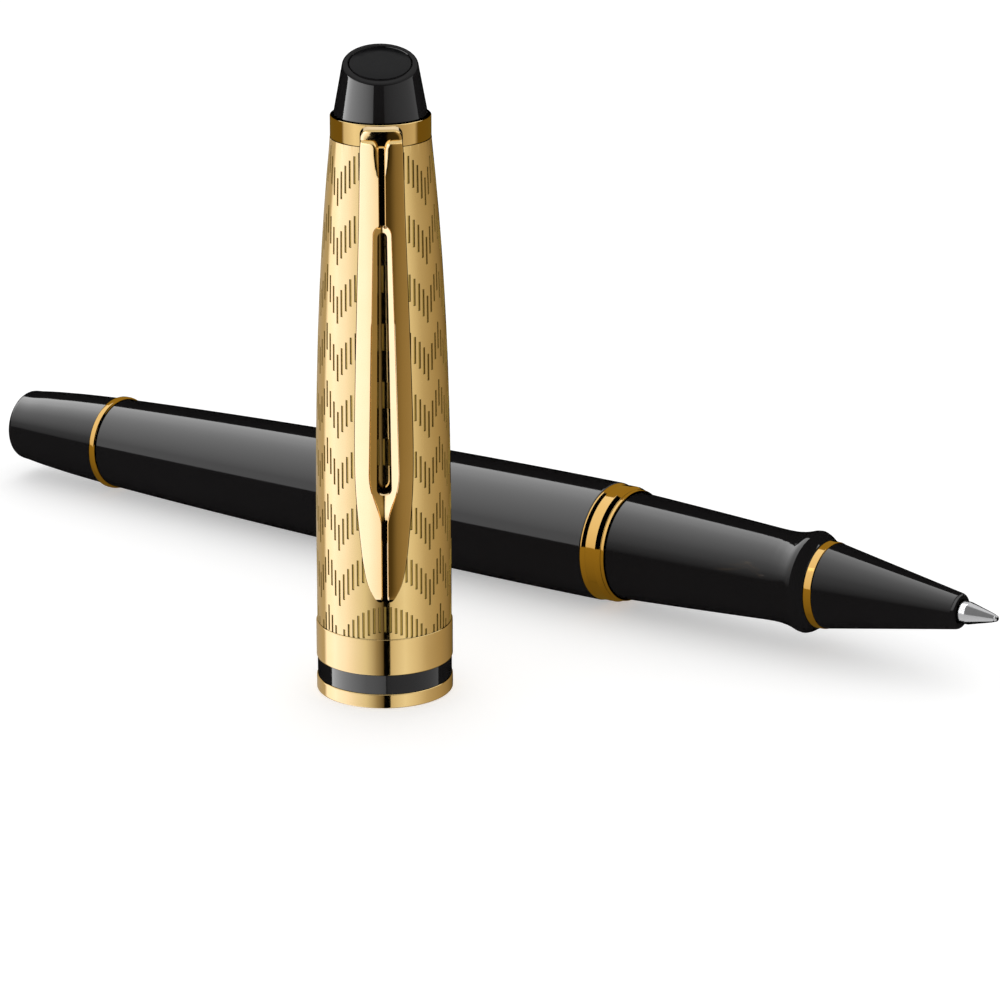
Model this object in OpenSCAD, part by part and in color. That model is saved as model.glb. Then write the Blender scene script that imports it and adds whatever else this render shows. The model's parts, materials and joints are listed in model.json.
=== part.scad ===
// Rollerball pen with its cap off. The cap stands on its mouth, and the pen lies beside it.
// Frame: the origin is the centre of the cap's mouth on the table, +Z is up,
// and +X is the way the pen's writing tip points.
// Heights in the cap are measured from its mouth. Stations along the pen are measured
// from the rear face of the tail ring towards the tip.

/* [Cap] */
// Height of the plain lip ring that the cap stands on
lip_ring_h = 1.45; // [1:0.05:2]
// Height of the lacquered band above the lip ring
lacquer_band_h = 1.95; // [1.5:0.05:2.5]
// Height of the smooth gold band
cap_band_h = 3.75; // [3:0.05:5]
// Radius of the lip ring and of the smooth band
cap_band_r = 6.75; // [6.7:0.01:6.9]
// Height at which the engraved sleeve ends, under the clip ring
sleeve_top = 56; // [54:0.5:58]
// Radius of the engraved sleeve where it is straight
sleeve_r = 6.64; // [6.6:0.01:6.7]
// Wall of the engraved sleeve
sleeve_wall = 0.33; // [0.25:0.01:0.35]
// Radius of the mouth that the pen's front goes into
mouth_r = 5.95; // [5.9:0.01:6]
// Depth of the hollow inside the cap
cavity_depth = 47; // [46:0.5:48]

/* [Finial and clip] */
// Height of the gold ring that carries the clip
clip_ring_h = 2.2; // [1.8:0.1:2.6]
// Height of the middle of the slanted top
finial_mid_h = 63.2; // [62:0.1:64]
// Slant of the top, falling towards the clip
finial_slant = 18.2; // [0:0.1:22]
// Direction that the clip faces, seen from above and measured from +X
clip_direction = -53.3; // [-180:0.1:180]
// Width of the clip at its root
clip_root_w = 4.3; // [4:0.1:5]
// Greatest width of the clip
clip_wide_w = 5.7; // [5:0.1:6.5]
// Height at which the clip is widest
clip_wide_h = 24; // [22:0.5:26]
// Height of the clip's rounded lower end
clip_tip_h = 11.2; // [11:0.1:13]

/* [Pen body] */
// Where the tail ring's rear face lies, from the cap's centre
pen_x = -61.8; // [-70:0.1:-50]
// Distance that the pen lies behind the cap
pen_y = 34.2; // [20:0.1:60]
// Tilt of the pen as it rests on its bulge, tip upwards
pen_tilt = 0.81; // [0.3:0.01:1.2]
// Length of the tail piece behind the tail ring
tail_l = 12.8; // [11:0.1:14]
// Thickness of the tail ring
tail_ring_l = 0.9; // [0.7:0.05:1.2]
// Station of the barrel's front end
barrel_end = 66.2; // [66:0.1:66.4]
// Radius of the barrel at its fullest
barrel_r = 6.22; // [6.15:0.01:6.3]
// Station at which the barrel is fullest
barrel_full_at = 59; // [56:0.5:62]

/* [Writing section] */
// Length of the stepped gold ring between barrel and grip
centre_ring_l = 2.75; // [2.5:0.05:3]
// Station of the grip's front end
grip_end = 92.03; // [91.9:0.01:92.1]
// Thickness of the ring between grip and nose cone
front_ring_l = 0.92; // [0.8:0.01:1]
// Station of the nose cone's front end
nose_end = 107.8; // [107.5:0.1:108.2]
// Advance of the section's screw thread per turn
thread_lead = 1; // [0.8:0.05:1]

/* [Refill] */
// Radius of the refill's tube
refill_r = 3; // [2.9:0.01:3]
// Radius of the metal tip
tip_r = 1.15; // [1.1:0.01:1.2]
// Radius of the writing ball
ball_r = 0.35; // [0.3:0.01:0.4]

/* [Hidden] */
$fn = 96;

// Gaps: between glued or pressed parts, and between parts that turn or slide
glue_gap = 0.01;
running_gap = 0.06;

// How far a cut or a buried end runs past the face that it meets
over = 1;

// Cap heights
lacquer_band_z = lip_ring_h;
cap_band_z = lacquer_band_z + lacquer_band_h;
sleeve_z = cap_band_z + cap_band_h;
lacquer_band_r = cap_band_r - 0.1;
liner_r = sleeve_r - sleeve_wall - glue_gap;
liner_z = 0.15;
liner_curve_z = 12;
sleeve_curve_z = 18;
mouth_depth = 6.5;
guide_r = 5.45;
guide_depth = 25;
cavity_r = 4.65;
snap_z = 20;
snap_h = 1.2;
snap_seat_r = 5.7;
snap_r = 5.2;
clip_ring_z = sleeve_top;
clip_ring_r = 4.87;
spigot_r = 3;
finial_z = clip_ring_z + clip_ring_h;
finial_r = 4.55;
finial_taper = 0.184;
finial_over_h = 8;
disc_r = 3;
disc_recess = 0.1;
disc_t = 0.3;
screw_r = 1.5;
screw_z = 48.5;
screw_top = 60;

// Pen stations
tail_end_r = 3.85;
tail_front_r = 4.88;
tail_round = 0.5;
tail_bulge = 0.1;
tail_ring_r = 5.15;
barrel_taper = 0.000386;
barrel_tail_bore_r = 3.45;
barrel_bore_r = 4.1;
bore_step_at = 12;
bush_r = 5.4;
bush_at = 57.8;
thread_r = 4.65;
thread_at = 60.2;
sleeve_front_r = 4.2;
sleeve_front = 78;
section_bore_r = refill_r + running_gap;
centre_ring_end = barrel_end + centre_ring_l;
cone_spigot_r = 3.88;
cone_spigot_at = 84;
cone_start = grip_end + front_ring_l;
cone_start_r = 4.4;
cone_end_r = 1.75;
cone_round = 0.3;
front_ring_r = 4.5;
holder_r = 2.25;
holder_at = 90;
holder_step_at = 92.5;
holder_end = 100;
plug_spigot_r = 2.65;
tube_wall = 0.33;
tube_at = 9;
plug_at = 1.5;
plug_r = 2.2;
tail_spigot_l = 7;
tail_bore_r = 2.5;
spring_at = -7.5;
tip_at = 97;
tip_cone_at = 108.7;
tip_cone_r = 0.42;
tip_bore_r = 0.7;
ball_at = 111.6;
feed_r = 0.62;
feed_at = 87;
feed_end = 108.4;
wick_r = 2.6;
wick_at = 12.5;
wick_end = 89;

// The barrel's lowest point touches the table, so this is how high the axis starts
pen_z = barrel_r * cos(pen_tilt) - barrel_full_at * sin(pen_tilt)
    + tan(pen_tilt) * sin(pen_tilt) / (4 * barrel_taper);

// Radius of the engraved sleeve at height z: straight, then drawn in towards the top
function sleeve_radius(z) = sleeve_r - 1.04e-4 * pow(max(0, z - liner_curve_z), 2.574);

// Radius of the barrel at station s, an even bulge
function barrel_radius(s) = barrel_r - barrel_taper * pow(s - barrel_full_at, 2);

// Half of the clip's width at height z
function clip_half_width(z) = z > clip_wide_h
    ? (clip_wide_w + (clip_root_w - clip_wide_w) * (z - clip_wide_h) / (sleeve_top - clip_wide_h)) / 2
    : clip_wide_w / 2 * sqrt(sin(14 + 76 * (z - clip_tip_h) / (clip_wide_h - clip_tip_h)));

// Evenly spaced values from a to b
function steps(a, b, n) = [for (i = [0 : n]) a + (b - a) * i / n];

// Solid of revolution with the given outline of [radius, height] points
module turned(outline) {
    rotate_extrude() polygon(outline);
}

// Plain ring from height z0 to z1
module ring(inner, outer, z0, z1) {
    turned([[inner, z0], [outer, z0], [outer, z1], [inner, z1]]);
}

// Puts a piece drawn along +Z on the axis of the lying pen
module lay() {
    translate([pen_x, pen_y, pen_z]) rotate([0, 90 - pen_tilt, 0]) children();
}

// ---- Cap ----

module cap_sleeve() {
    color("goldenrod") turned(concat(
        [for (z = steps(sleeve_z, liner_curve_z, 1)) [sleeve_radius(z), z]],
        [for (z = steps(sleeve_curve_z, sleeve_top, 10)) [sleeve_radius(z), z]],
        [for (z = steps(sleeve_top, sleeve_curve_z, 10)) [sleeve_radius(z) - sleeve_wall, z]],
        [for (z = steps(liner_curve_z, sleeve_z, 1)) [sleeve_radius(z) - sleeve_wall, z]]
    ));
}

module cap_band() {
    edge = 0.2;
    color("gold") turned([
        [liner_r + glue_gap, cap_band_z], [cap_band_r - edge, cap_band_z],
        [cap_band_r, cap_band_z + edge], [cap_band_r, sleeve_z - edge],
        [cap_band_r - edge, sleeve_z], [liner_r + glue_gap, sleeve_z]
    ]);
}

module lacquer_band() {
    color("black") ring(liner_r + glue_gap, lacquer_band_r, lacquer_band_z, cap_band_z);
}

module lip_ring() {
    edge = 0.2;
    color("gold") turned([
        [liner_r + glue_gap, 0], [cap_band_r - edge, 0], [cap_band_r, edge],
        [cap_band_r, lip_ring_h - edge], [cap_band_r - edge, lip_ring_h],
        [liner_r + glue_gap, lip_ring_h]
    ]);
}

// Resin liner that every cap part is fixed to, hollow for the pen's front
module inner_cap() {
    color("dimgray") difference() {
        turned(concat(
            [[0, liner_z], [liner_r, liner_z], [liner_r, liner_curve_z]],
            [for (z = steps(sleeve_curve_z, sleeve_top, 10)) [sleeve_radius(z) - sleeve_wall - glue_gap, z]],
            [[0, sleeve_top]]
        ));
        translate([0, 0, -over]) cylinder(r = mouth_r, h = mouth_depth + over);
        translate([0, 0, mouth_depth - over])
            cylinder(r = guide_r, h = guide_depth - mouth_depth + over);
        translate([0, 0, guide_depth - over])
            cylinder(r = cavity_r, h = cavity_depth - guide_depth + over);
        translate([0, 0, snap_z]) cylinder(r = snap_seat_r, h = snap_h);
        translate([0, 0, screw_z]) cylinder(r = screw_r + glue_gap, h = sleeve_top);
    }
}

// Spring ring that snaps behind the grip's crest
module snap_ring() {
    half = snap_h / 2;
    color("silver") turned([
        [snap_seat_r - glue_gap, snap_z], [snap_seat_r - glue_gap, snap_z + snap_h],
        [guide_r, snap_z + snap_h], [snap_r, snap_z + half], [guide_r, snap_z]
    ]);
}

// Collar that carries the clip, clamped between sleeve and finial
module clip_ring() {
    edge = 0.25;
    color("gold") turned([
        [spigot_r, clip_ring_z], [clip_ring_r, clip_ring_z],
        [clip_ring_r, finial_z - edge], [clip_ring_r - edge, finial_z], [spigot_r, finial_z]
    ]);
}

// Places children on the slanted plane of the finial's top
module on_slant() {
    rotate([0, 0, clip_direction]) translate([0, 0, finial_mid_h]) rotate([0, finial_slant, 0]) children();
}

module finial() {
    cutter = 20;
    color("black") difference() {
        union() {
            translate([0, 0, finial_z])
                cylinder(r1 = finial_r, r2 = finial_r - finial_taper * finial_over_h, h = finial_over_h);
            translate([0, 0, clip_ring_z]) cylinder(r = spigot_r - glue_gap, h = clip_ring_h + over);
        }
        on_slant() translate([-cutter / 2, -cutter / 2, 0]) cube(cutter);
        on_slant() translate([0, 0, -disc_t - disc_recess]) cylinder(r = disc_r, h = cutter);
        cylinder(r = screw_r + glue_gap, h = screw_top);
    }
}

// Flat inlay in the slanted top
module finial_disc() {
    color("dimgray") on_slant() translate([0, 0, -disc_t - disc_recess])
        cylinder(r = disc_r - glue_gap, h = disc_t);
}

// Stud that pulls finial, clip ring and sleeve onto the liner
module finial_screw() {
    color("silver") translate([0, 0, screw_z]) cylinder(r = screw_r, h = screw_top - screw_z);
}

// ---- Clip, drawn facing +X ----

// Side view of the clip as [distance from the cap's axis, height]
clip_side = [
    [4.2, 57.0], [5.6, 56.6], [6.2, 55.6], [6.55, 51.7], [6.9, 48], [7.6, 40], [7.85, 34],
    [7.95, 26], [7.7, 20], [7.1, 16], [6.75, 14.4], [6.7, 13.2], [6.95, clip_tip_h],
    [7.55, clip_tip_h], [7.95, 13], [8.25, 15.3], [8.65, 19.5], [8.85, 22.6], [9.02, 26],
    [8.95, 34], [8.65, 40], [8.1, 48], [7.75, 51.7], [7.3, 55.6], [6.9, 57.2], [6.3, 57.9],
    [5.4, 58.1], [4.2, 58.1]
];

// Front view of the slot as [height, half of its width]
slot_low = 22.6;
slot_high = 48.4;
slot_low_w = 1.55;
slot_high_w = 1;

module clip() {
    heights = steps(clip_tip_h, clip_wide_h, 12);
    upper = [[clip_root_w / 2, sleeve_top], [clip_root_w / 2, finial_z]];
    edge = concat([for (z = heights) [clip_half_width(z), z]], upper);
    deep = 12;
    color("gold") rotate([0, 0, clip_direction]) difference() {
        intersection() {
            translate([0, clip_wide_w, 0]) rotate([90, 0, 0])
                linear_extrude(2 * clip_wide_w) polygon(clip_side);
            rotate([90, 0, 90]) linear_extrude(deep)
                polygon(concat(edge, [for (i = [len(edge) - 1 : -1 : 0]) [-edge[i][0], edge[i][1]]]));
        }
        rotate([90, 0, 90]) linear_extrude(deep) polygon([
            [-slot_low_w / 2, slot_low], [slot_low_w / 2, slot_low],
            [slot_high_w / 2, slot_high], [-slot_high_w / 2, slot_high]
        ]);
        translate([0, 0, sleeve_top - over])
            cylinder(r = clip_ring_r + 2 * running_gap, h = clip_ring_h + 2 * over);
    }
}

// ---- Pen body ----

module barrel() {
    color("black") lay() difference() {
        turned(concat(
            [[0, tail_ring_l]],
            [for (s = steps(tail_ring_l, barrel_end, 14)) [barrel_radius(s), s]],
            [[0, barrel_end]]
        ));
        translate([0, 0, -over]) cylinder(r = barrel_tail_bore_r, h = bore_step_at + 2 * over);
        translate([0, 0, bore_step_at]) cylinder(r = barrel_bore_r, h = barrel_end);
        translate([0, 0, bush_at]) cylinder(r = bush_r + glue_gap, h = barrel_end);
    }
}

// Threaded metal bush that the writing section screws into
module barrel_bush() {
    color("silver") lay() ring(thread_r + running_gap, bush_r, bush_at, barrel_end - running_gap);
}

module tail_ring() {
    edge = 0.2;
    color("gold") lay() turned([
        [barrel_tail_bore_r, 0], [tail_ring_r - edge, 0], [tail_ring_r, edge],
        [tail_ring_r, tail_ring_l - edge], [tail_ring_r - edge, tail_ring_l],
        [barrel_tail_bore_r, tail_ring_l]
    ]);
}

// Blind end piece whose spigot screws into the barrel and seats the spring
module tail_cap() {
    color("black") lay() difference() {
        turned([
            [0, -tail_l], [tail_end_r - tail_round, -tail_l],
            [tail_end_r - tail_round * 0.29, -tail_l + tail_round * 0.29],
            [tail_end_r, -tail_l + tail_round],
            for (i = [1 : 3]) [
                tail_end_r + (tail_front_r - tail_end_r) * i / 4 + tail_bulge * sin(45 * i),
                -tail_l + tail_l * i / 4
            ],
            [tail_front_r, 0], [barrel_tail_bore_r - glue_gap, 0],
            [barrel_tail_bore_r - glue_gap, tail_spigot_l], [0, tail_spigot_l]
        ]);
        translate([0, 0, spring_at]) cylinder(r = tail_bore_r, h = tail_spigot_l - spring_at + over);
    }
}

// Spring that keeps the refill forward: rings of wire joined to a closed outer coil
module refill_spring() {
    wire_r = 0.2;
    coil_r = 1.9;
    turns = 9;
    pitch = (plug_at - spring_at - 2 * wire_r) / turns;
    // bar along the coil that joins its rings, each side of its square section
    post = 0.3;
    color("silver") lay() union() {
        for (i = [0 : turns])
            translate([0, 0, spring_at + wire_r + i * pitch])
                rotate_extrude($fn = 32) translate([coil_r, 0]) circle(wire_r, $fn = 16);
        translate([coil_r - post / 2, -post / 2, spring_at + wire_r]) cube([post, post, turns * pitch]);
    }
}

// ---- Writing section ----

// Bead, cove, flat and step, down to the lip that the cap's mouth passes over
module centre_ring() {
    s = barrel_end;
    color("gold") lay() turned([
        [thread_r + glue_gap, s], [6.05, s], [6.15, s + 0.12], [6.15, s + 0.32], [6.02, s + 0.42],
        [5.98, s + 0.62], [6.08, s + 0.78], [6.1, s + 1.6], [5.98, s + 1.72], [5.78, s + 1.84],
        [5.72, s + 2.12], [5.85, s + 2.28], [5.85, s + 2.6], [5.75, centre_ring_end],
        [thread_r + glue_gap, centre_ring_end]
    ]);
}

// Brass sleeve: its rear is the screw thread, its front is fixed in the grip
module thread_sleeve() {
    color("silver") lay() difference() {
        union() {
            translate([0, 0, thread_at]) cylinder(r = thread_r, h = centre_ring_end - thread_at);
            translate([0, 0, thread_at]) cylinder(r = sleeve_front_r, h = sleeve_front - thread_at);
        }
        translate([0, 0, thread_at - over]) cylinder(r = section_bore_r, h = sleeve_front);
    }
}

// Waisted grip that flares to a crest
module grip() {
    color("black") lay() difference() {
        turned([
            [0, centre_ring_end], [5.61, centre_ring_end], [5.47, 72], [5.27, 76], [5.06, 80],
            [4.84, 84], [4.73, 86], [4.7, 87], [4.72, 88], [4.85, 89], [5.05, 89.8], [5.22, 90.3],
            [5.27, 90.55], [5.2, 90.85], [4.85, 91.4], [4.62, 91.8], [4.55, grip_end], [0, grip_end]
        ]);
        translate([0, 0, centre_ring_end - over])
            cylinder(r = sleeve_front_r + glue_gap, h = sleeve_front - centre_ring_end + over);
        cylinder(r = section_bore_r, h = nose_end);
        translate([0, 0, cone_spigot_at])
            cylinder(r = cone_spigot_r + glue_gap, h = nose_end - cone_spigot_at);
    }
}

module front_ring() {
    edge = 0.2;
    color("gold") lay() turned([
        [cone_spigot_r + glue_gap, grip_end], [front_ring_r - edge, grip_end],
        [front_ring_r, grip_end + edge], [front_ring_r, cone_start - edge],
        [front_ring_r - edge, cone_start], [cone_spigot_r + glue_gap, cone_start]
    ]);
}

// Cone that screws into the grip and stops the refill at its inner shoulder
module nose_cone() {
    color("black") lay() difference() {
        turned([
            [0, cone_spigot_at], [cone_spigot_r, cone_spigot_at], [cone_spigot_r, cone_start],
            [cone_start_r, cone_start], [cone_end_r + cone_round * 0.5, nose_end - cone_round],
            [cone_end_r - cone_round * 0.1, nose_end - cone_round * 0.3],
            [cone_end_r - cone_round, nose_end], [0, nose_end]
        ]);
        translate([0, 0, cone_spigot_at - over])
            cylinder(r = section_bore_r, h = cone_start - cone_spigot_at + over);
        translate([0, 0, cone_spigot_at])
            cylinder(r = holder_r + running_gap, h = holder_end + running_gap - cone_spigot_at);
        translate([0, 0, cone_spigot_at]) cylinder(r = tip_r + running_gap, h = nose_end);
    }
}

// ---- Refill ----

module refill_tube() {
    color("lightgray") lay() ring(refill_r - tube_wall, refill_r, tube_at, holder_at);
}

module refill_end_plug() {
    color("dimgray") lay() union() {
        translate([0, 0, plug_at]) cylinder(r = plug_r, h = tube_at - plug_at);
        translate([0, 0, tube_at]) cylinder(r = plug_spigot_r, h = wick_at - tube_at);
    }
}

// Fibre reservoir that holds the ink
module ink_wick() {
    color("navy") lay() difference() {
        translate([0, 0, wick_at]) cylinder(r = wick_r, h = wick_end - wick_at);
        translate([0, 0, feed_at]) cylinder(r = feed_r + glue_gap, h = nose_end);
    }
}

// Moulded front end of the refill that grips the metal tip
module tip_holder() {
    color("white") lay() difference() {
        union() {
            translate([0, 0, wick_end]) cylinder(r = plug_spigot_r, h = holder_at - wick_end);
            translate([0, 0, holder_at]) cylinder(r = refill_r, h = holder_step_at - holder_at);
            translate([0, 0, holder_at]) cylinder(r = holder_r, h = holder_end - holder_at);
        }
        translate([0, 0, feed_at]) cylinder(r = feed_r + glue_gap, h = nose_end);
        translate([0, 0, tip_at]) cylinder(r = tip_r + glue_gap, h = nose_end);
    }
}

module refill_tip() {
    color("silver") lay() difference() {
        turned([
            [0, tip_at], [tip_r, tip_at], [tip_r, tip_cone_at], [tip_cone_r, ball_at],
            [0, ball_at]
        ]);
        translate([0, 0, tip_at - over]) cylinder(r = tip_bore_r, h = feed_end + over - tip_at);
        translate([0, 0, tip_at]) cylinder(r = ball_r / 2, h = nose_end);
        translate([0, 0, ball_at]) sphere(r = ball_r + running_gap / 2);
    }
}

// Fibre rod that leads the ink from the reservoir into the tip
module ink_feed() {
    color("navy") lay() translate([0, 0, feed_at]) cylinder(r = feed_r, h = feed_end - feed_at);
}

module writing_ball() {
    color("silver") lay() translate([0, 0, ball_at]) sphere(r = ball_r);
}

cap_sleeve();
cap_band();
lacquer_band();
lip_ring();
inner_cap();
snap_ring();
clip_ring();
finial();
finial_disc();
finial_screw();
clip();
barrel();
barrel_bush();
tail_ring();
tail_cap();
refill_spring();
centre_ring();
thread_sleeve();
grip();
front_ring();
nose_cone();
refill_tube();
refill_end_plug();
ink_wick();
tip_holder();
refill_tip();
ink_feed();
writing_ball();
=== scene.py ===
import json
import math

import bmesh
import bpy
import numpy as np
from mathutils import Matrix, Vector

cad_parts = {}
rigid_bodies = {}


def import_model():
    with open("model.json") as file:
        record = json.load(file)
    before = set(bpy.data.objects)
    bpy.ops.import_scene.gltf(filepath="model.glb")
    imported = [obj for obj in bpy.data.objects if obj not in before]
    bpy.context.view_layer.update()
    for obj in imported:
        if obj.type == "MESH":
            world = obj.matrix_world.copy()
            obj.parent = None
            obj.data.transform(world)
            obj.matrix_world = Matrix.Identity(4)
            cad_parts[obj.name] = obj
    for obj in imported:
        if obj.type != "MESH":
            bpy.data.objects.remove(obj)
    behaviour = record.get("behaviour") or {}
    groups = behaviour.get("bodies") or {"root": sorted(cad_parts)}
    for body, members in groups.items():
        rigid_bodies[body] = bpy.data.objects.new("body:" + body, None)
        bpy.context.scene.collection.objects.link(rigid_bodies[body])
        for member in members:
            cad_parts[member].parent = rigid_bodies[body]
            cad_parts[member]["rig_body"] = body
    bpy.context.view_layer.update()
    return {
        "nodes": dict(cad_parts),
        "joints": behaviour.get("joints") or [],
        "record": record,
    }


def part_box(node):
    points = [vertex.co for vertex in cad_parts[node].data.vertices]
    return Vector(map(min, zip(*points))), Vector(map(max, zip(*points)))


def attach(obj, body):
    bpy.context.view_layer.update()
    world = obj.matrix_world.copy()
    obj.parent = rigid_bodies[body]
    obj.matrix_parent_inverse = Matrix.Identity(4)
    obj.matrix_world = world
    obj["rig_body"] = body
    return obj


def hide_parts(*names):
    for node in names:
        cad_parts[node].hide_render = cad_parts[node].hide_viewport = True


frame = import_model()

MM = 0.001
# points round a turned piece
AROUND = 168

joints = {j["name"]: j for j in frame["joints"]}
dressed = []


# ---------------------------------------------------------------- places

def axis_frame(origin, direction):
    """Matrix whose Z runs along direction from origin, for a piece drawn along +Z."""
    turn = Vector(direction).normalized().to_track_quat("Z", "Y").to_matrix().to_4x4()
    return Matrix.Translation(Vector(origin)) @ turn


def rings(node, place):
    """Station and outer radius, in mm, of every ring of corners on a turned CAD solid."""
    mesh = frame["nodes"][node].data
    to_local = np.array(place.inverted())
    points = np.array([v.co[:] for v in mesh.vertices])
    local = points @ to_local[:3, :3].T + to_local[:3, 3]
    stations = np.round(local[:, 2] / MM, 2)
    radii = np.hypot(local[:, 0], local[:, 1]) / MM
    return [(s, radii[stations == s].max()) for s in np.unique(stations)]


# The pen's axis is the line that the section unscrews along. Stations along it start
# at the tail ring's rear face.
screw = joints["section_unscrew"]
pen = axis_frame(screw["pos_m"], screw["axis"])
pen = pen @ Matrix.Translation((0, 0, rings("tail_ring", pen)[0][0] * MM))
cap = Matrix.Identity(4)

# The clip's hinge lies across the way that the clip faces.
clip_hinge = Vector(joints["clip_flex"]["axis"])
clip_facing = math.atan2(clip_hinge.x, -clip_hinge.y)
clip_place = Matrix.Rotation(clip_facing, 4, "Z")


# ---------------------------------------------------------------- meshes

def make_mesh(name, verts, faces, place, body, slot, smooth=True, hard_angle=50):
    """Piece on a body, from points in mm in the frame of place."""
    mesh = bpy.data.meshes.new(name)
    points = np.asarray(verts, dtype=float) * MM
    matrix = np.array(place)
    mesh.from_pydata((points @ matrix[:3, :3].T + matrix[:3, 3]).tolist(), [], faces)
    mesh.update()
    piece = bpy.data.objects.new(name, mesh)
    bpy.context.scene.collection.objects.link(piece)
    if smooth:
        mesh.shade_smooth()
        mesh.set_sharp_from_angle(angle=math.radians(hard_angle))
    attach(piece, body)
    dressed.append((piece, slot))
    return piece


def softened(outline, steps=5):
    """Closed outline of (station, radius[, rounding]) points with each corner rounded."""
    count = len(outline)
    out = []
    for i, point in enumerate(outline):
        here = np.array(point[:2], dtype=float)
        rounding = point[2] if len(point) > 2 else 0
        if not rounding:
            out.append(here)
            continue
        before = np.array(outline[i - 1][:2], dtype=float) - here
        after = np.array(outline[(i + 1) % count][:2], dtype=float) - here
        reach_in = min(rounding, 0.45 * np.linalg.norm(before))
        reach_out = min(rounding, 0.45 * np.linalg.norm(after))
        start = here + before / np.linalg.norm(before) * reach_in
        end = here + after / np.linalg.norm(after) * reach_out
        guard_in = here + before / np.linalg.norm(before) * reach_in * 1.1
        guard_out = here + after / np.linalg.norm(after) * reach_out * 1.1
        out.append(guard_in)
        for k in range(steps + 1):
            t = k / steps
            out.append((1 - t) ** 2 * start + 2 * t * (1 - t) * here + t * t * end)
        out.append(guard_out)
    return out


def turned(name, outline, place, body, slot, around=AROUND):
    """Solid of revolution from a closed outline of (station, radius[, rounding]) in mm."""
    profile = softened(outline)
    if signed_area(profile) < 0:
        profile = profile[::-1]
    verts, rows = [], []
    for station, radius in profile:
        if radius == 0:
            rows.append([len(verts)] * around)
            verts.append((0, 0, station))
        else:
            rows.append(range(len(verts), len(verts) + around))
            verts += level_ring(radius, station, circle(around)).tolist()
    faces = []
    for row, above in zip(rows, rows[1:] + rows[:1]):
        for a in range(around):
            b = (a + 1) % around
            # a point on the axis is shared, so faces there are triangles or vanish
            corners = list(dict.fromkeys((row[a], row[b], above[b], above[a])))
            if len(corners) > 2:
                faces.append(corners)
    return make_mesh(name, verts, faces, place, body, slot)


def tube_faces(rows, around, last_to_first=False):
    """Faces between neighbouring rows of points, each row running once round."""
    faces = []
    for i in range(rows if last_to_first else rows - 1):
        j = (i + 1) % rows
        for a in range(around):
            b = (a + 1) % around
            faces.append((i * around + a, i * around + b, j * around + b, j * around + a))
    return faces


def level_ring(radius, height, angles):
    """Points of a level ring; radius is one number or one for each angle."""
    return np.stack([radius * np.cos(angles), radius * np.sin(angles), np.full(len(angles), height)],
                    axis=1)


def circle(count):
    """Evenly spaced angles all the way round."""
    return np.arange(count) * 2 * math.pi / count


def signed_area(profile):
    """Positive when the outline runs so that a turned solid's faces point outwards."""
    total = 0
    for (s0, r0), (s1, r1) in zip(profile, profile[1:] + profile[:1]):
        total += s1 * r0 - s0 * r1
    return total


def curve_through(points, values):
    """Cubic through the points, without overshoot, at each of the given values."""
    xs = np.array([p[0] for p in points], dtype=float)
    ys = np.array([p[1] for p in points], dtype=float)
    gaps = np.diff(xs)
    slopes = np.diff(ys) / gaps
    tangents = np.empty(len(xs))
    tangents[0], tangents[-1] = slopes[0], slopes[-1]
    for i in range(1, len(xs) - 1):
        same_way = slopes[i - 1] * slopes[i] > 0
        mean = (slopes[i - 1] * gaps[i] + slopes[i] * gaps[i - 1]) / (gaps[i] + gaps[i - 1])
        tangents[i] = mean if same_way else 0
    values = np.clip(np.asarray(values, dtype=float), xs[0], xs[-1])
    k = np.clip(np.searchsorted(xs, values) - 1, 0, len(gaps) - 1)
    t = (values - xs[k]) / gaps[k]
    h00 = (1 + 2 * t) * (1 - t) ** 2
    h10 = t * (1 - t) ** 2
    h01 = t * t * (3 - 2 * t)
    h11 = t * t * (t - 1)
    by_height = h00 * ys[k] + h01 * ys[k + 1]
    by_slope = h10 * tangents[k] + h11 * tangents[k + 1]
    return by_height + by_slope * gaps[k]


def outermost(points):
    """The rings of an outward-bulging solid that lie on its outside, without its bores."""
    kept = []
    for point in points:
        while len(kept) > 1:
            (s0, r0), (s1, r1) = kept[-2:]
            if (r1 - r0) * (point[0] - s0) > (point[1] - r0) * (s1 - s0):
                break
            kept.pop()
        kept.append(point)
    return kept


def skin(points, step):
    """Evenly spaced (station, radius) points along the smooth curve through CAD rings."""
    start, end = points[0][0], points[-1][0]
    stations = np.linspace(start, end, max(2, round((end - start) / step) + 1))
    return list(zip(stations, curve_through(points, stations)))


# ---------------------------------------------------------------- cap

LIP_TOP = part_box("lip_ring")[1][2] / MM
LACQUER_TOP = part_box("lacquer_band")[1][2] / MM
BAND_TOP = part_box("cap_band")[1][2] / MM
SLEEVE_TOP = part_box("cap_sleeve")[1][2] / MM
COLLAR_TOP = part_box("clip_ring")[1][2] / MM
# radii of what the cap's rings fit over
LINER_R = 6.31
COLLAR_BORE_R = 3
BAND_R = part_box("cap_band")[1][0] / MM
LACQUER_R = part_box("lacquer_band")[1][0] / MM
COLLAR_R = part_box("clip_ring")[1][0] / MM


def band(node, low, high, inner, outer, rounding, slot):
    """Plain ring of the cap with rounded outer edges."""
    outline = [(low, inner), (low, outer, rounding), (high, outer, rounding), (high, inner)]
    piece = turned(node + "_visual", outline, cap, "cap", slot)
    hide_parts(node)


def make_cap_bands():
    band("lip_ring", 0, LIP_TOP, LINER_R, BAND_R, 0.16, "polished_gold")
    band("lacquer_band", LIP_TOP, LACQUER_TOP, LINER_R, LACQUER_R, 0.04, "black_lacquer")
    band("cap_band", LACQUER_TOP, BAND_TOP, LINER_R, BAND_R, 0.14, "polished_gold")
    band("clip_ring", SLEEVE_TOP, COLLAR_TOP, COLLAR_BORE_R, COLLAR_R, 0.14, "polished_gold")


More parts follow.
